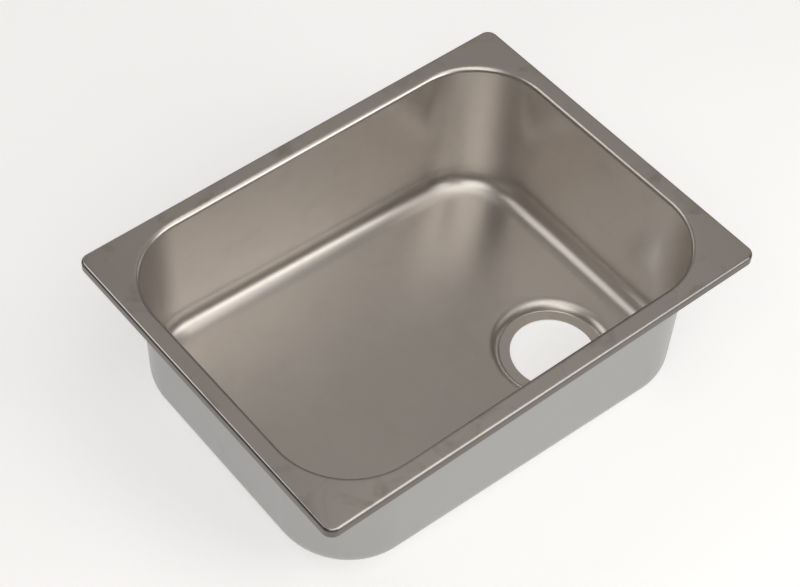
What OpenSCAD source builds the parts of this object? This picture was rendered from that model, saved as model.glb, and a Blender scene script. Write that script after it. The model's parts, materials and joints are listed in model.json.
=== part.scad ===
// Inset foot-bath basin, pressed from one sheet of stainless steel.
// X runs along the long side, the drain is towards +X and -Y, and Z is up.
// The origin is under the middle of the rim, level with the lowest point.

/* [Rim] */
// Length of the rim, outside to outside
rim_length = 522; // [440:1:650]
// Width of the rim, outside to outside
rim_width = 394; // [320:1:480]
// Corner radius of the rim, outside
rim_corner = 11; // [8:1:30]
// Flat margin from the rim's outside to the edge of the opening
rim_margin = 15.5; // [12:0.5:30]
// Height of the rim, from its top to its sheared lower edge
rim_drop = 10; // [7:0.5:16]
// Radius of the bend at the rim's outside, on the upper side of the sheet
rim_bend = 3; // [2:0.5:5]

/* [Bowl] */
// Depth from the top of the rim to the floor, midway along the bowl
bowl_depth = 166; // [120:1:220]
// Corner radius of the opening in the rim
opening_corner = 85; // [60:1:110]
// Radius of the bend from the rim down into the bowl
opening_bend = 5.5; // [3:0.5:10]
// Lean of the walls, as mm inwards for each 100 mm down
wall_lean = 1.9; // [0.5:0.1:4]
// Radius between the walls and the floor
floor_round = 24; // [14:1:36]
// Fall of the floor towards +X, as mm for each 100 mm
floor_fall_x = 4.6; // [1:0.1:6]
// Fall of the floor towards -Y, as mm for each 100 mm
floor_fall_y = 1.6; // [0.5:0.1:3]

/* [Drain] */
// Floor left between the drain and the round of the +X wall
drain_gap_end = 12.5; // [4:0.5:60]
// Floor left between the drain and the round of the -Y wall
drain_gap_side = 5; // [4:0.5:40]
// Diameter of the drain hole
drain_hole = 90; // [50:1:95]
// Diameter of the flat seat round the hole
drain_seat = 113; // [104:1:118]
// Depth of the seat below the floor
drain_depth = 8; // [5:0.5:10]
// Radius of the shoulder that falls from the floor to the seat
drain_shoulder = 16; // [12:1:20]

/* [Sheet] */
// Thickness of the steel sheet
sheet = 0.9; // [0.7:0.1:1.2]

/* [Hidden] */
$fn = 180;

// The steel's colour
steel = [0.66, 0.65, 0.63];

// Slopes as ratios. (slope_x, -slope_y, 1) is upright on the floor, and floor_normal long.
lean = wall_lean / 100;
slope_x = floor_fall_x / 100;
slope_y = floor_fall_y / 100;
steepest = sqrt(slope_x * slope_x + slope_y * slope_y);
floor_normal = sqrt(1 + steepest * steepest);

// Plan of the bowl's inner wall where the bend at its mouth ends
wall_length = rim_length - 2 * (rim_margin + opening_bend);
wall_width = rim_width - 2 * (rim_margin + opening_bend);
wall_corner = opening_corner - opening_bend;

// The floor's block leans more than the walls by extra_lean, so the walls cut it just above
// its round. It clears them by floor_play where the bowl is shallowest. Its inset is a whole
// number of steps, so the straights and the corners of the block meet exactly.
extra_lean = 0.03;
floor_lean = lean + extra_lean;
floor_play = 0.05;
step = 0.001;
shallowest = bowl_depth - slope_x * wall_length / 2 - slope_y * wall_width / 2;
corner_inset = lean * (shallowest - opening_bend - floor_round) + floor_lean * floor_round;
floor_inset = step * floor((corner_inset - floor_play) / step);

// Width of the floor's round, from the side of the block to the flat floor
floor_angle = atan(floor_lean);
round_width = floor_round / cos(floor_angle) - floor_lean * floor_round;

// The drain's shoulder is an arc whose crown is shoulder_play above the floor, at the radius
// shoulder_reach from the hole's axis, so the floor cuts it cleanly
shoulder_play = 0.1;
shoulder_rise = drain_shoulder - drain_depth - shoulder_play;
shoulder_width = sqrt(drain_shoulder * drain_shoulder - shoulder_rise * shoulder_rise);
shoulder_reach = drain_seat / 2 + shoulder_width;

// Place of the drain from the middle of the bowl
drain_x = wall_length / 2 - floor_inset - round_width - drain_gap_end - shoulder_reach;
drain_y = -(wall_width / 2 - floor_inset - round_width - drain_gap_side - shoulder_reach);

// The underside of the seat stands on the lowest level, on its +X, -Y side
under_shoulder = drain_shoulder - sheet;
under_rise = shoulder_rise - sheet;
under_seat = shoulder_reach - sqrt(under_shoulder * under_shoulder - under_rise * under_rise);
drain_level = (drain_depth + sheet + under_seat * steepest) / floor_normal;

// Heights of the floor midway along the bowl, of the rim and of the top of the walls
floor_mid = drain_level + slope_x * drain_x - slope_y * drain_y;
rim_top = floor_mid + bowl_depth;
wall_top = rim_top - opening_bend;

// A cut reaches this far past what it cuts
past = 5;

// Rectangle with rounded corners, flat in the XY plane
module rounded_rectangle(length, width, radius)
{
    square([length, width - 2 * radius], center = true);
    square([length - 2 * radius, width], center = true);
    for (x = [-1, 1], y = [-1, 1])
        translate([x * (length / 2 - radius), y * (width / 2 - radius)])
            circle(radius);
}

// Carries a profile round a rounded rectangle: its x is outwards from the path, its y is up
module round_the_path(length, width, radius)
{
    for (quarter = [0 : 3])
    {
        half_x = (quarter % 2 == 0 ? length : width) / 2;
        half_y = (quarter % 2 == 0 ? width : length) / 2;
        rotate([0, 0, 90 * quarter])
        {
            translate([half_x, half_y - radius, 0])
                rotate([90, 0, 0])
                    linear_extrude(2 * (half_y - radius))
                        children();
            translate([half_x - radius, half_y - radius, 0])
                rotate_extrude(angle = 90)
                    translate([radius, 0])
                        children();
        }
    }
}

// Section of a quarter bend of the sheet about the origin, from the angle start
module quarter_bend(inner, start)
{
    intersection()
    {
        difference()
        {
            circle(inner + sheet);
            circle(inner);
        }
        rotate(start)
            square(2 * (inner + sheet));
    }
}

// Section of the turned-down edge, from the rim's outside at its top
module turned_edge()
{
    translate([-rim_bend, -rim_bend])
        quarter_bend(rim_bend - sheet, 0);
    translate([-sheet, -rim_drop])
        square([sheet, rim_drop - rim_bend]);
}

// Flat of the rim, its turned-down edge and the bend into the bowl
module rim()
{
    translate([0, 0, rim_top - sheet])
        linear_extrude(sheet)
            difference()
            {
                rounded_rectangle(rim_length - 2 * rim_bend, rim_width - 2 * rim_bend,
                    rim_corner - rim_bend);
                rounded_rectangle(rim_length - 2 * rim_margin, rim_width - 2 * rim_margin,
                    opening_corner);
            }
    translate([0, 0, rim_top])
    {
        round_the_path(rim_length, rim_width, rim_corner)
            turned_edge();
        round_the_path(wall_length, wall_width, wall_corner)
            translate([opening_bend, -opening_bend])
                quarter_bend(opening_bend - sheet, 90);
    }
}

// Solid inside the bowl's walls, grown by spread: it narrows downwards and has no floor
module wall_block(spread, over)
{
    low = -past - wall_top;
    translate([0, 0, wall_top])
    {
        round_the_path(wall_length, wall_width, wall_corner)
            polygon([
                [-wall_corner, low],
                [spread + lean * low, low],
                [spread + lean * over, over],
                [-wall_corner, over]
            ]);
        translate([0, 0, low])
            linear_extrude(over - low)
                square([wall_length - 2 * wall_corner, wall_width - 2 * wall_corner],
                    center = true);
    }
}

// Lays its children on the sloping floor, upright, from a flat floor at z = 0
module on_the_floor()
{
    multmatrix([
        [1, 0, 0, 0],
        [0, 1, 0, 0],
        [-slope_x, slope_y, floor_normal, floor_mid],
        [0, 0, 0, 1]
    ])
        children();
}

// Solid above the bowl's floor and its round, grown by spread
module floor_block(spread)
{
    reach = floor_round + spread;
    length = wall_length - 2 * floor_inset;
    width = wall_width - 2 * floor_inset;
    radius = wall_corner - floor_inset;
    round_the_path(length, width, radius)
    {
        polygon([
            [-radius, -spread],
            [-round_width, -spread],
            [-round_width, floor_round],
            [reach * cos(floor_angle) - round_width, floor_round - reach * sin(floor_angle)],
            [floor_lean * rim_top + spread / cos(floor_angle), rim_top],
            [-radius, rim_top]
        ]);
        translate([-round_width, floor_round])
            circle(reach);
    }
    translate([0, 0, -spread])
        linear_extrude(rim_top + spread)
            square([length - 2 * radius, width - 2 * radius], center = true);
}

// Sets its children square to the floor, with z = 0 on the floor at the drain
module at_the_drain()
{
    translate([drain_x, drain_y, drain_level])
        rotate([asin(slope_y / floor_normal), atan(slope_x), 0])
            children();
}

// Solid above the drain's seat and shoulder, to just over the floor, grown by spread
module drain_block(spread)
{
    rotate_extrude()
        difference()
        {
            translate([0, -drain_depth - spread])
                square([shoulder_reach, drain_depth + spread + past]);
            translate([shoulder_reach, shoulder_play - drain_shoulder])
                circle(drain_shoulder - spread);
        }
}

// Solid inside the bowl, grown by spread: its mouth is level, over the top of the walls
module bowl_block(spread, over)
{
    intersection()
    {
        wall_block(spread, over);
        union()
        {
            on_the_floor()
                floor_block(spread);
            at_the_drain()
                drain_block(spread);
        }
    }
}

// Walls, floor and drain pressing, with the hole square to the floor
module bowl()
{
    difference()
    {
        bowl_block(sheet, 0);
        bowl_block(0, past);
        at_the_drain()
            translate([0, 0, -drain_depth])
                cylinder(d = drain_hole, h = 2 * past, center = true);
    }
}

// The whole basin, one pressed and pierced sheet
module basin()
{
    color(steel)
    {
        rim();
        bowl();
    }
}

basin();
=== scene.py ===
import json
import math

import bpy
import numpy as np
from mathutils import Matrix, Vector


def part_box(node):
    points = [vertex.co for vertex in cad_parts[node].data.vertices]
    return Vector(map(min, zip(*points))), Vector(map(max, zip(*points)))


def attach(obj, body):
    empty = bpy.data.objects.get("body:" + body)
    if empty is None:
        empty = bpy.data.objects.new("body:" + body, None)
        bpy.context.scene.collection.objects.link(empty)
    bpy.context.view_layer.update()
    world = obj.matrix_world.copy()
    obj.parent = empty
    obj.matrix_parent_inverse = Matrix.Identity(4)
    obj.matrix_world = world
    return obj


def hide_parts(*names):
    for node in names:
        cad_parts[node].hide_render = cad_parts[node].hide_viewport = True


# Inset foot-bath basin, pressed from one sheet of satin stainless steel.
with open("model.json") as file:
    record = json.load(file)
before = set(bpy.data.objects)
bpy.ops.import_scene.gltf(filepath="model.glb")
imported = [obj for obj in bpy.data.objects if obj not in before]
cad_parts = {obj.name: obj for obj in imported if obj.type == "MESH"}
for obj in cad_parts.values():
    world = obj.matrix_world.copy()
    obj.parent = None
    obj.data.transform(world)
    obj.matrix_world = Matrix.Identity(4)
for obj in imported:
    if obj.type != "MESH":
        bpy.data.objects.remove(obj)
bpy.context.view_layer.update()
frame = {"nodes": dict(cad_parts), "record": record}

MM = 0.001

# ---------------------------------------------------------------- camera

CAMERA_PLACE = (-0.8461, -0.9278, 1.6711)
CAMERA_TURN = 38.09     # degrees from +Y towards +X
CAMERA_DIP = 50.97      # degrees below the horizon
CAMERA_ROLL = 0.38      # degrees about the line of sight
CAMERA_LENS = 91.1
CAMERA_SHIFT = 0.1      # the basin stands left of the line of sight


def place_camera():
    """Camera at its place, turned from looking straight down.

    It is tipped up by 90 degrees less the dip, turned about Z and rolled about its own axis.
    """
    data = bpy.data.cameras.new("camera")
    data.lens = CAMERA_LENS
    data.sensor_width = 36.0
    data.shift_x = CAMERA_SHIFT
    data.clip_start, data.clip_end = 0.05, 50.0
    data.dof.use_dof = False
    camera = bpy.data.objects.new("camera", data)
    bpy.context.scene.collection.objects.link(camera)
    turn = Matrix.Rotation(math.radians(-CAMERA_TURN), 4, "Z")
    tip = Matrix.Rotation(math.radians(90 - CAMERA_DIP), 4, "X")
    roll = Matrix.Rotation(math.radians(CAMERA_ROLL), 4, "Z")
    camera.matrix_world = Matrix.Translation(CAMERA_PLACE) @ turn @ tip @ roll
    bpy.context.scene.camera = camera


place_camera()

# ---------------------------------------------------------------- sizes of the pressing

low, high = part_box("basin")
RIM_TOP = high.z
RIM_LENGTH, RIM_WIDTH = high.x - low.x, high.y - low.y
RIM_CORNER = 11 * MM
RIM_MARGIN = 15.5 * MM
RIM_DROP = 10 * MM
RIM_BEND = 3 * MM
OPENING_CORNER = 85 * MM
OPENING_BEND = 5.5 * MM
WALL_LEAN = 0.019
FLOOR_ROUND = 24 * MM
DRAIN_SEAT = 113 * MM
DRAIN_DEPTH = 8 * MM
DRAIN_SHOULDER = 16 * MM
DRAIN_CREASE = 1.5 * MM     # small round where the shoulder meets the seat
SHEET = 0.9 * MM
SOFTENED = 0.12 * MM        # edge left by shearing and polishing
FLOOR_STRIP = 2 * MM        # narrow strip of the grid at each end of the floor's lines
LONGEST_STRIP = 0.35        # and its largest share of a line

WALL_LENGTH = RIM_LENGTH - 2 * (RIM_MARGIN + OPENING_BEND)
WALL_WIDTH = RIM_WIDTH - 2 * (RIM_MARGIN + OPENING_BEND)
WALL_CORNER = OPENING_CORNER - OPENING_BEND

mounts = {m["name"]: m for m in frame["record"]["mounts"]}
hole = mounts["drain_hole"]
HOLE_RADIUS = hole["dims"]["r_mm"] * MM
FLOOR_UP = np.array(hole["axis"], float)
# middle of the seat's upper side, and the point of the floor's plane above it on the hole's axis
SEAT_MIDDLE = np.array(hole["pos_m"], float) + FLOOR_UP * SHEET / 2
DRAIN_MIDDLE = SEAT_MIDDLE + FLOOR_UP * DRAIN_DEPTH
SLOPE_X = -FLOOR_UP[0] / FLOOR_UP[2]
SLOPE_Y = -FLOOR_UP[1] / FLOOR_UP[2]


def floor_height(x, y):
    """Height of the floor's plane, which rises by SLOPE_X and SLOPE_Y for each metre."""
    return DRAIN_MIDDLE[2] + SLOPE_X * (x - DRAIN_MIDDLE[0]) + SLOPE_Y * (y - DRAIN_MIDDLE[1])


# ---------------------------------------------------------------- plan of the basin

# columns of the grid in half an end, in a corner and in half a side
ALONG_END, ROUND_CORNER, ALONG_SIDE = 20, 44, 32
# steps of the grid round each bend and along the floor
TURNED_STEPS, MOUTH_STEPS, ROUND_STEPS = 10, 12, 20
FLOOR_STEPS, SHOULDER_STEPS, CREASE_STEPS = 11, 10, 4
# rows of the grid along each straight run, as shares of its length
TURNED_ROWS = (0.0, 0.35, 0.7, 1.0)
RIM_ROWS = (0.04, 0.15, 0.4, 0.65, 0.87, 0.96)
WALL_ROWS = (0.006, 0.03, 0.12, 0.25, 0.4, 0.55, 0.7, 0.83, 0.93, 0.985)
SEAT_ROWS = (0.06, 0.3, 0.6, 0.9)
SHARP_ANGLE = 32        # degrees between faces from which an edge is drawn sharp


def closed_loop(quarter):
    """A quarter, from the middle of the +X end to the middle of the +Y side, carried round.

    The second quarter is its reflection in X, backwards, the third is its reflection in
    both, and the fourth is its reflection in Y, backwards.
    """
    x, y = quarter
    back_x, back_y = x[:0:-1], y[:0:-1]
    return (
        np.concatenate([x[:-1], -back_x, -x[:-1], back_x]),
        np.concatenate([y[:-1], back_y, -y[:-1], -back_y]),
    )


def wall_plan():
    """Points and outward directions along the inner wall at its top.

    It is a rectangle whose corners are quarter circles, with the columns at even angles.
    """
    half_x, half_y, r = WALL_LENGTH / 2, WALL_WIDTH / 2, WALL_CORNER
    angle = np.linspace(0, np.pi / 2, ROUND_CORNER + 1)[:-1]
    up = np.linspace(0, half_y - r, ALONG_END + 1)[:-1]
    back = np.linspace(half_x - r, 0, ALONG_SIDE + 1)
    x = np.concatenate([np.full(ALONG_END, half_x), half_x - r + r * np.cos(angle), back])
    y = np.concatenate([up, half_y - r + r * np.sin(angle), np.full(ALONG_SIDE + 1, half_y)])
    out_x = np.concatenate([np.ones(ALONG_END), np.cos(angle), np.zeros(ALONG_SIDE + 1)])
    out_y = np.concatenate([np.zeros(ALONG_END), np.sin(angle), np.ones(ALONG_SIDE + 1)])
    return (*closed_loop((x, y)), *closed_loop((out_x, out_y)))


def rim_plan():
    """Points and outward directions along the rim's outside, column by column with the wall's.

    A quarter of a corner's columns lead to the small round corner, half go round it and a
    quarter lead away.
    """
    half_x, half_y, r = RIM_LENGTH / 2, RIM_WIDTH / 2, RIM_CORNER
    wall_x, wall_y = WALL_LENGTH / 2 - WALL_CORNER, WALL_WIDTH / 2 - WALL_CORNER
    lead, turn = ROUND_CORNER // 4, ROUND_CORNER - 2 * (ROUND_CORNER // 4)
    up = np.linspace(0, wall_y, ALONG_END + 1)[:-1]
    on = np.linspace(wall_y, half_y - r, lead + 1)[:-1]
    angle = np.linspace(0, np.pi / 2, turn + 1)[:-1]
    off = np.linspace(half_x - r, wall_x, lead + 1)[:-1]
    back = np.linspace(wall_x, 0, ALONG_SIDE + 1)
    first, last = ALONG_END + lead, lead + ALONG_SIDE + 1
    x = np.concatenate([np.full(first, half_x), half_x - r + r * np.cos(angle), off, back])
    y = np.concatenate([up, on, half_y - r + r * np.sin(angle), np.full(last, half_y)])
    out_x = np.concatenate([np.ones(first), np.cos(angle), np.zeros(last)])
    out_y = np.concatenate([np.zeros(first), np.sin(angle), np.ones(last)])
    return (*closed_loop((x, y)), *closed_loop((out_x, out_y)))


def in_steps(start, end, steps):
    """Even steps from start to end, both included."""
    return np.linspace(start, end, steps + 1)


def skin(depth):
    """Rows of the sheet's surface, from the rim's lower edge to the drain hole.

    The surface is at a depth below the side that shows.
    Turned-down edge: upright, then a quarter circle about a point RIM_BEND in and down.
    Rim: straight lines from the outer path to the path of the opening.
    Mouth: an arc about a point OPENING_BEND out from the wall and as far below the rim.
    Wall and floor's round: in the upright plane through each column, the leaning wall's
    line and the floor's line are joined by the circle of FLOOR_ROUND that touches both.
    Floor: straight lines on the floor's plane to the circle where the drain's shoulder
    starts, in each column's own direction from the drain's middle.
    Drain: a convex arc of DRAIN_SHOULDER down from the floor, a small concave one, and the
    flat seat in to the hole.
    """
    rows = []

    def add(x, y, z):
        rows.append(np.stack([x, y, np.broadcast_to(z, x.shape)], 1))

    rim_x, rim_y, rim_out_x, rim_out_y = rim_plan()
    wall_x, wall_y, wall_out_x, wall_out_y = wall_plan()

    def at_rim(outset, height):
        add(rim_x + outset * rim_out_x, rim_y + outset * rim_out_y, RIM_TOP + height)

    def at_wall(inset, z):
        add(wall_x - inset * wall_out_x, wall_y - inset * wall_out_y, z)

    # turned-down edge, with its sheared edge a little softened
    for height in TURNED_ROWS:
        at_rim(-depth, -RIM_DROP + SOFTENED + (RIM_DROP - RIM_BEND - SOFTENED) * height)
    for a in in_steps(0, np.pi / 2, TURNED_STEPS)[1:]:
        reach = RIM_BEND - depth
        at_rim(-RIM_BEND + reach * np.cos(a), -RIM_BEND + reach * np.sin(a))

    # flat of the rim
    inner_x, inner_y = wall_x + OPENING_BEND * wall_out_x, wall_y + OPENING_BEND * wall_out_y
    outer_x, outer_y = rim_x - RIM_BEND * rim_out_x, rim_y - RIM_BEND * rim_out_y
    for share in RIM_ROWS:
        x = outer_x + share * (inner_x - outer_x)
        y = outer_y + share * (inner_y - outer_y)
        add(x, y, RIM_TOP - depth)

    # bend at the mouth, down to the wall's own lean
    lean_angle = math.atan(WALL_LEAN)
    for a in in_steps(np.pi / 2, np.pi - lean_angle, MOUTH_STEPS):
        reach = OPENING_BEND - depth
        at_wall(-OPENING_BEND - reach * np.cos(a), RIM_TOP - OPENING_BEND + reach * np.sin(a))

    # the round between wall and floor, in each column's upright plane
    wall_top = RIM_TOP - OPENING_BEND
    rise = -(SLOPE_X * wall_out_x + SLOPE_Y * wall_out_y)       # of the floor, inwards
    foot = floor_height(wall_x, wall_y)
    wall_long, floor_long = math.hypot(1, WALL_LEAN), np.hypot(1, rise)
    # the centre is FLOOR_ROUND from both lines:
    # inset + WALL_LEAN * (z - wall_top) = FLOOR_ROUND * wall_long
    # z - foot - rise * inset = FLOOR_ROUND * floor_long
    off_lines = FLOOR_ROUND * (wall_long - WALL_LEAN * floor_long)
    leaned_in = WALL_LEAN * (foot - wall_top)
    centre_inset = (off_lines - leaned_in) / (1 + WALL_LEAN * rise)
    centre_z = foot + rise * centre_inset + FLOOR_ROUND * floor_long
    reach = FLOOR_ROUND + depth
    start, end = np.pi + lean_angle, 1.5 * np.pi + np.arctan(rise)
    first_inset = centre_inset + reach * np.cos(start)
    first_z = centre_z + reach * np.sin(start)
    top_inset = -OPENING_BEND - (OPENING_BEND - depth) * np.cos(np.pi - lean_angle)
    top_z = RIM_TOP - OPENING_BEND + (OPENING_BEND - depth) * np.sin(np.pi - lean_angle)
    for share in WALL_ROWS:
        at_wall(top_inset + share * (first_inset - top_inset), top_z + share * (first_z - top_z))
    for share in in_steps(0, 1, ROUND_STEPS):
        a = start + share * (end - start)
        at_wall(centre_inset + reach * np.cos(a), centre_z + reach * np.sin(a))

    # floor, in to the drain's shoulder
    foot_x, foot_y = rows[-1][:, 0], rows[-1][:, 1]
    away = np.arctan2(foot_y - DRAIN_MIDDLE[1], foot_x - DRAIN_MIDDLE[0])
    across = np.array([1, 0, SLOPE_X]) / math.hypot(1, SLOPE_X)
    along = np.cross(FLOOR_UP, across)
    spoke = np.cos(away)[:, None] * across + np.sin(away)[:, None] * along
    crease_reach = DRAIN_SHOULDER + DRAIN_CREASE
    crease_rise = DRAIN_SHOULDER - DRAIN_DEPTH + DRAIN_CREASE
    shoulder_in = math.sqrt(DRAIN_SHOULDER ** 2 - (DRAIN_SHOULDER - DRAIN_DEPTH) ** 2)
    shoulder_reach = DRAIN_SEAT / 2 + shoulder_in
    crease_middle = shoulder_reach - math.sqrt(crease_reach ** 2 - crease_rise ** 2)

    def at_drain(radius, height):
        rows.append(DRAIN_MIDDLE + radius * spoke + height * FLOOR_UP)

    inner = DRAIN_MIDDLE + shoulder_reach * spoke - depth * FLOOR_UP
    outer = rows[-1].copy()
    run = np.linalg.norm(inner - outer, axis=1)[:, None]
    margin = np.minimum(FLOOR_STRIP / run, LONGEST_STRIP)
    near = outer + (inner - outer) * margin
    far = inner + (outer - inner) * margin
    for share in in_steps(0, 1, FLOOR_STEPS):
        rows.append(near + share * (far - near))

    # shoulder, crease and seat
    tilt = math.asin((shoulder_reach - crease_middle) / crease_reach)
    for a in in_steps(0, tilt, SHOULDER_STEPS):
        r = DRAIN_SHOULDER - depth
        at_drain(shoulder_reach - r * math.sin(a), r * math.cos(a) - DRAIN_SHOULDER)
    for a in in_steps(tilt, 0, CREASE_STEPS)[1:]:
        r = DRAIN_CREASE + depth
        at_drain(crease_middle + r * math.sin(a), -DRAIN_DEPTH + DRAIN_CREASE - r * math.cos(a))
    seat_width = HOLE_RADIUS + SOFTENED - crease_middle     # below 0: it runs inwards
    for share in SEAT_ROWS:
        at_drain(crease_middle + share * seat_width, -DRAIN_DEPTH - depth)
    at_drain(HOLE_RADIUS + SOFTENED, -DRAIN_DEPTH - depth)
    return rows, (rim_x, rim_y, rim_out_x, rim_out_y), spoke


def basin_sheet():
    """The whole sheet as one grid that is closed both ways.

    It runs along the side that shows, over the hole's edge, back along the other side and
    over the sheared edge of the rim.
    """
    shown, rim, spoke = skin(0.0)
    hidden, _, _ = skin(SHEET)
    rim_x, rim_y, out_x, out_y = rim

    def edge_row(outset, height):
        level = np.full(rim_x.shape, RIM_TOP + height)
        return np.stack([rim_x + outset * out_x, rim_y + outset * out_y, level], 1)

    hole_edge = [
        DRAIN_MIDDLE + HOLE_RADIUS * spoke + (h - DRAIN_DEPTH) * FLOOR_UP
        for h in (-SOFTENED, -SHEET / 2, -SHEET + SOFTENED)
    ]
    sheared_edge = [
        edge_row(-SHEET + SOFTENED, -RIM_DROP),
        edge_row(-SHEET / 2, -RIM_DROP),
        edge_row(-SOFTENED, -RIM_DROP),
    ]
    return np.stack(shown + hole_edge + hidden[::-1] + sheared_edge)


def grid_mesh(name, points):
    """A mesh from rows by columns of points, closed both ways.

    Each face takes a point, the next in its row, and the two beside them in the next row,
    wound so that it points out of the sheet.
    """
    count_rows, count_columns = points.shape[:2]
    row, column = np.meshgrid(np.arange(count_rows), np.arange(count_columns), indexing="ij")
    next_row, next_column = (row + 1) % count_rows, (column + 1) % count_columns
    corner = [row * count_columns + column, row * count_columns + next_column,
              next_row * count_columns + next_column, next_row * count_columns + column]
    faces = np.stack([c.ravel() for c in corner], 1)
    mesh = bpy.data.meshes.new(name)
    mesh.from_pydata(points.reshape(-1, 3), [], faces)
    mesh.polygons.foreach_set("use_smooth", np.ones(len(faces), bool))
    mesh.set_sharp_from_angle(angle=math.radians(SHARP_ANGLE))
    mesh.update()
    piece = bpy.data.objects.new(name, mesh)
    bpy.context.scene.collection.objects.link(piece)
    return piece


# ---------------------------------------------------------------- finishes

RIM_ROUGHNESS = 0.31        # the flat rim keeps the rolled sheet's polish
BOWL_ROUGHNESS = 0.32       # drawing roughens the walls
FLOOR_ROUGHNESS = 0.41      # the floor is scoured by use
CLOUD_ROUGHNESS = 0.01      # added or taken away by the clouds, and by the grain
MARK_ROUGHNESS = 0.03       # added by the marks of hands

DARK_STEEL = (0.62, 0.590, 0.560, 1)
LIGHT_STEEL = (0.65, 0.620, 0.590, 1)
HANDLED = (0.47, 0.435, 0.40, 1)
# painted shade: a darker tone for every outside face, standing in for the darker light it
# reflects
OUTSIDE_PAINTED_SHADE = (0.39, 0.39, 0.385, 1)
# painted shade: a dark tone for the outside of the turned-down edge, standing in for the shade
# under the rim
EDGE_PAINTED_SHADE = (0.12, 0.11, 0.10, 1)
MARKS_IN_BOWL, MARKS_ON_RIM = 0.12, 0.9     # how far the marks turn the tone
EDGE_PAINTED_SHADE_SHARE = 0.85                        # how far the painted shade on the turned-down edge turns the tone

GRAIN_PITCH, COARSE_GRAIN_PITCH = 900.0, 420.0      # all pitches are to the metre
FINE_GRAIN_SHARE, COARSE_GRAIN_SHARE = 0.6, 0.4
GRAIN_STRENGTH, GRAIN_HEIGHT = 0.015, 0.0001        # of the bump, the height in metres
MARK_PITCH, MARK_SPREAD = 24.0, 0.52
MARK_FADE = 0.16            # rise of the noise over which a mark comes in
CLOUD_PITCH = 9.0

NOISE_LOW, NOISE_HIGH = 0.3, 0.7            # most of a noise lies between these
OUTSIDE_FROM, OUTSIDE_TO = 0.10, 0.15       # metres outwards where the outside begins
TILTED, LEVEL = 0.93, 0.995                 # upward part of the normal, off and on the floor


def node(tree, kind, place=(0, 0), **settings):
    """A new node of a kind, at a place in the editor, with its settings."""
    n = tree.nodes.new(kind)
    n.location = place
    for k, v in settings.items():
        setattr(n, k, v)
    return n


def noise(tree, vector, scale, detail, roughness):
    """Noise, mostly from NOISE_LOW to NOISE_HIGH, with about scale lumps to the metre."""
    n = node(tree, "ShaderNodeTexNoise")
    n.inputs["Scale"].default_value = scale
    n.inputs["Detail"].default_value = detail
    n.inputs["Roughness"].default_value = roughness
    tree.links.new(vector, n.inputs["Vector"])
    return n.outputs["Fac"]


def remap(tree, value, from_low, from_high, to_low, to_high):
    """The value carried in a straight line from one range to the other, and held at its ends."""
    n = node(tree, "ShaderNodeMapRange", clamp=True)
    tree.links.new(value, n.inputs["Value"])
    n.inputs["From Min"].default_value = from_low
    n.inputs["From Max"].default_value = from_high
    n.inputs["To Min"].default_value = to_low
    n.inputs["To Max"].default_value = to_high
    return n.outputs["Result"]


def maths(tree, operation, a, b):
    """A sum or product of two values, each a number or a socket."""
    n = node(tree, "ShaderNodeMath", operation=operation)
    for socket, v in zip(n.inputs, (a, b)):
        if isinstance(v, (int, float)):
            socket.default_value = v
        else:
            tree.links.new(v, socket)
    return n.outputs[0]


def mix_colour(tree, factor, a, b):
    """The colour a, turned towards b by the factor."""
    n = node(tree, "ShaderNodeMix", data_type="RGBA")
    for socket, v in ((n.inputs[0], factor), (n.inputs[6], a), (n.inputs[7], b)):
        if isinstance(v, tuple):
            socket.default_value = v
        else:
            tree.links.new(v, socket)
    return n.outputs[2]


def new_group(name, inputs, outputs):
    """A shader node group with its input and output sockets."""
    g = bpy.data.node_groups.new(name, "ShaderNodeTree")
    for label, kind, value in inputs:
        s = g.interface.new_socket(name=label, in_out="INPUT", socket_type=kind)
        if value is not None:
            s.default_value = value
    for label, kind in outputs:
        g.interface.new_socket(name=label, in_out="OUTPUT", socket_type=kind)
    return g, node(g, "NodeGroupInput", (-900, 0)), node(g, "NodeGroupOutput", (900, 0))


def satin_grain():
    """Fine even grain left by satin polishing.

    The height is two noises of different pitch, added, from 0 to 1.
    """
    g, into, out = new_group(
        "satin grain",
        [("Place", "NodeSocketVector", None), ("Pitch", "NodeSocketFloat", GRAIN_PITCH)],
        [("Height", "NodeSocketFloat")],
    )
    fine = node(g, "ShaderNodeTexNoise")
    fine.inputs["Detail"].default_value = 2.0
    coarse = node(g, "ShaderNodeTexNoise")
    coarse.inputs["Detail"].default_value = 3.0
    coarse.inputs["Scale"].default_value = COARSE_GRAIN_PITCH
    g.links.new(into.outputs["Place"], fine.inputs["Vector"])
    g.links.new(into.outputs["Place"], coarse.inputs["Vector"])
    g.links.new(into.outputs["Pitch"], fine.inputs["Scale"])
    fine_share = maths(g, "MULTIPLY", fine.outputs["Fac"], FINE_GRAIN_SHARE)
    coarse_share = maths(g, "MULTIPLY", coarse.outputs["Fac"], COARSE_GRAIN_SHARE)
    total = maths(g, "ADD", fine_share, coarse_share)
    g.links.new(total, out.inputs["Height"])
    return g


def handling_marks():
    """Dull patches from hands and dried water, from 0 to 1.

    They are wide soft patches where a noise is high, broken up by a finer one.
    """
    g, into, out = new_group(
        "handling marks",
        [
            ("Place", "NodeSocketVector", None),
            ("Pitch", "NodeSocketFloat", MARK_PITCH),
            ("Spread", "NodeSocketFloat", MARK_SPREAD),
        ],
        [("Marks", "NodeSocketFloat")],
    )
    wide = node(g, "ShaderNodeTexNoise")
    wide.inputs["Detail"].default_value = 3.0
    wide.inputs["Roughness"].default_value = 0.62
    wide.inputs["Distortion"].default_value = 0.7
    g.links.new(into.outputs["Place"], wide.inputs["Vector"])
    g.links.new(into.outputs["Pitch"], wide.inputs["Scale"])
    over = maths(g, "SUBTRACT", wide.outputs["Fac"], into.outputs["Spread"])
    patches = remap(g, over, 0.0, MARK_FADE, 0.0, 1.0)
    broken = remap(g, noise(g, into.outputs["Place"], 70.0, 2.0, 0.5), 0.35, 0.65, 0.45, 1.0)
    g.links.new(maths(g, "MULTIPLY", patches, broken), out.inputs["Marks"])
    return g


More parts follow.
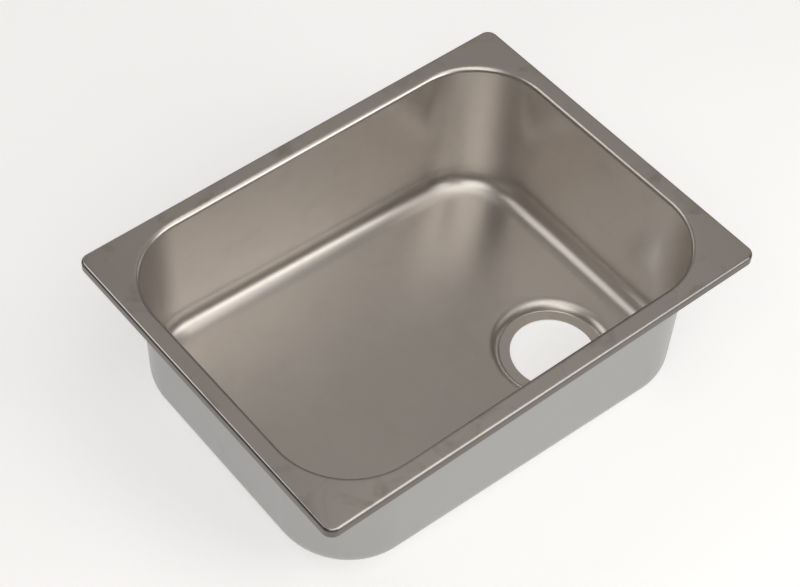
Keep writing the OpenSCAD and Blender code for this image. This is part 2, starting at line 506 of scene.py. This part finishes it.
def outside_shade_mask(tree, coordinates):
    """Mask for painted shade: 1 on the faces that look away from the bowl's middle and 0 on the
    others.

    It is the dot product of the place, made level, and the surface's normal, in metres.
    """
    level = node(tree, "ShaderNodeVectorMath", operation="MULTIPLY")
    level.inputs[1].default_value = (1, 1, 0)
    tree.links.new(coordinates.outputs["Object"], level.inputs[0])
    outward = node(tree, "ShaderNodeVectorMath", operation="DOT_PRODUCT")
    tree.links.new(level.outputs[0], outward.inputs[0])
    tree.links.new(coordinates.outputs["Normal"], outward.inputs[1])
    return remap(tree, outward.outputs["Value"], OUTSIDE_FROM, OUTSIDE_TO, 0.0, 1.0)


def steel_finish():
    """Satin stainless steel: warm grey metal, broken up by marks, clouds and fine grain.

    The outside is darkened with painted shade, the outside of the rim's turned-down edge gets a
    dark band of painted shade and the floor is scoured.
    """
    material = bpy.data.materials.new("satin_steel")
    material.use_nodes = True
    tree = material.node_tree
    tree.nodes.clear()
    coordinates = node(tree, "ShaderNodeTexCoord", (-1400, 0))
    place = coordinates.outputs["Object"]
    outside = outside_shade_mask(tree, coordinates)

    grain = node(tree, "ShaderNodeGroup", (-1000, -300), node_tree=satin_grain())
    grain.inputs["Pitch"].default_value = GRAIN_PITCH
    tree.links.new(place, grain.inputs["Place"])
    marks = node(tree, "ShaderNodeGroup", (-1000, 0), node_tree=handling_marks())
    marks.inputs["Pitch"].default_value = MARK_PITCH
    marks.inputs["Spread"].default_value = MARK_SPREAD
    tree.links.new(place, marks.inputs["Place"])
    clouds = noise(tree, place, CLOUD_PITCH, 4.0, 0.55)
    split = node(tree, "ShaderNodeSeparateXYZ")
    tree.links.new(place, split.inputs["Vector"])
    height = split.outputs["Z"]

    # tone: clouds, marks of hands, painted shade on the outside and painted shade along the
    # rim's turned-down edge
    polished = remap(tree, clouds, NOISE_LOW, NOISE_HIGH, 0.0, 1.0)
    tone = mix_colour(tree, polished, DARK_STEEL, LIGHT_STEEL)
    worn = remap(tree, height, RIM_TOP - SHEET, RIM_TOP - SOFTENED, MARKS_IN_BOWL, MARKS_ON_RIM)
    marked = maths(tree, "MULTIPLY", marks.outputs["Marks"], worn)
    tone = mix_colour(tree, marked, tone, HANDLED)
    # painted shade: the outside faces are turned darker
    tone = mix_colour(tree, outside, tone, OUTSIDE_PAINTED_SHADE)
    # painted shade: outside faces from the rim's lower edge upwards turn dark, the shade under
    # the turned-down edge
    rim_edge = RIM_TOP - RIM_DROP
    edge = remap(tree, height, rim_edge - SHEET, rim_edge, 0.0, EDGE_PAINTED_SHADE_SHARE)
    tone = mix_colour(tree, maths(tree, "MULTIPLY", edge, outside), tone, EDGE_PAINTED_SHADE)

    # roughness: rim, walls and floor, then clouds, marks and grain
    mouth = RIM_TOP - OPENING_BEND
    drawn = remap(tree, height, mouth, RIM_TOP - SHEET, BOWL_ROUGHNESS, RIM_ROUGHNESS)
    facing = node(tree, "ShaderNodeSeparateXYZ")
    tree.links.new(coordinates.outputs["Normal"], facing.inputs["Vector"])
    scoured = FLOOR_ROUGHNESS - BOWL_ROUGHNESS
    flat = remap(tree, facing.outputs["Z"], TILTED, LEVEL, 0.0, scoured)
    low_down = remap(tree, height, RIM_TOP - 2 * FLOOR_ROUND, RIM_TOP - FLOOR_ROUND, 1.0, 0.0)
    rough = maths(tree, "ADD", drawn, maths(tree, "MULTIPLY", flat, low_down))

    def vary(value):
        return remap(tree, value, NOISE_LOW, NOISE_HIGH, -CLOUD_ROUGHNESS, CLOUD_ROUGHNESS)

    marked = maths(tree, "MULTIPLY", marks.outputs["Marks"], MARK_ROUGHNESS)
    for change in (vary(clouds), marked, vary(grain.outputs["Height"])):
        rough = maths(tree, "ADD", rough, change)

    bump = node(tree, "ShaderNodeBump", (300, -300))
    bump.inputs["Strength"].default_value = GRAIN_STRENGTH
    bump.inputs["Distance"].default_value = GRAIN_HEIGHT
    tree.links.new(grain.outputs["Height"], bump.inputs["Height"])

    shader = node(tree, "ShaderNodeBsdfPrincipled", (600, 0))
    shader.inputs["Metallic"].default_value = 1.0
    tree.links.new(tone, shader.inputs["Base Color"])
    tree.links.new(rough, shader.inputs["Roughness"])
    tree.links.new(bump.outputs["Normal"], shader.inputs["Normal"])
    out = node(tree, "ShaderNodeOutputMaterial", (900, 0))
    tree.links.new(shader.outputs["BSDF"], out.inputs["Surface"])
    return material


# ---------------------------------------------------------------- the basin

steel = steel_finish()
basin = grid_mesh("basin_sheet", basin_sheet())
basin.data.materials.append(steel)
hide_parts("basin")
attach(basin, "root")
# the solid that it replaces takes the same steel
frame["nodes"]["basin"].data.materials.clear()
frame["nodes"]["basin"].data.materials.append(steel)

# ---------------------------------------------------------------- studio

FLOOR_HALF = 40.0                       # half the width of the studio floor, in metres
ROOM_COLOUR = (0.145, 0.133, 0.121)     # dim warm light from the rest of the room
AIM = (0, 0, 0.1)                       # middle of the bowl, which every panel faces
WARM = (1.0, 0.96, 0.915)               # colour of every panel
# name, place, width, height and watts of each panel
PANELS = (
    ("low_softbox", (0.79, -1.57, 0.81), 1.2, 1.0, 9.5),
    ("front_softbox", (0.50, -1.06, 1.60), 1.0, 1.0, 3.9),
    ("top_softbox", (0.15, -0.29, 1.97), 1.2, 1.0, 4.2),
    ("camera_side_softbox", (-0.75, -0.95, 1.55), 1.2, 1.2, 7.0),
    ("back_softbox", (-0.80, 0.90, 1.35), 0.9, 0.9, 3.3),
    ("far_softbox", (0.92, 0.92, 1.66), 1.5, 1.3, 1.2),
    ("right_low_softbox", (1.80, -0.10, 0.80), 0.9, 0.5, 1.3),
    ("far_low_softbox", (-0.10, 1.80, 0.75), 0.9, 0.5, 1.2),
)


def stage_floor():
    """A wide pale sheet under the basin, which glows a little like a light table."""
    mesh = bpy.data.meshes.new("studio_floor")
    corners = [(-1, -1), (1, -1), (1, 1), (-1, 1)]
    points = [(x * FLOOR_HALF, y * FLOOR_HALF, 0) for x, y in corners]
    mesh.from_pydata(points, [], [(0, 1, 2, 3)])
    floor = bpy.data.objects.new("studio_floor", mesh)
    bpy.context.scene.collection.objects.link(floor)
    material = bpy.data.materials.new("studio_paper")
    material.use_nodes = True
    shader = material.node_tree.nodes["Principled BSDF"]
    shader.inputs["Base Color"].default_value = (0.80, 0.815, 0.83, 1)
    shader.inputs["Roughness"].default_value = 0.9
    shader.inputs["Specular IOR Level"].default_value = 0.1
    shader.inputs["Emission Color"].default_value = (1, 1, 1, 1)
    shader.inputs["Emission Strength"].default_value = 0.45
    mesh.materials.append(material)


def soft_light(name, place, width, height, watts):
    """A warm rectangular panel at its place, which faces the middle of the bowl."""
    data = bpy.data.lights.new(name, "AREA")
    data.shape = "RECTANGLE"
    data.size, data.size_y = width, height
    data.energy = watts
    data.color = WARM
    light = bpy.data.objects.new(name, data)
    bpy.context.scene.collection.objects.link(light)
    light.location = place
    light.rotation_mode = "QUATERNION"
    light.rotation_quaternion = (Vector(AIM) - Vector(place)).to_track_quat("-Z", "Y")


def room_light(colour):
    """Even light from the rest of the room."""
    world = bpy.data.worlds.new("studio")
    world.use_nodes = True
    background = world.node_tree.nodes["Background"]
    background.inputs["Color"].default_value = (*colour, 1)
    background.inputs["Strength"].default_value = 1.0
    bpy.context.scene.world = world


bpy.context.scene.view_settings.view_transform = "Standard"
stage_floor()
room_light(ROOM_COLOUR)
for panel in PANELS:
    soft_light(*panel)
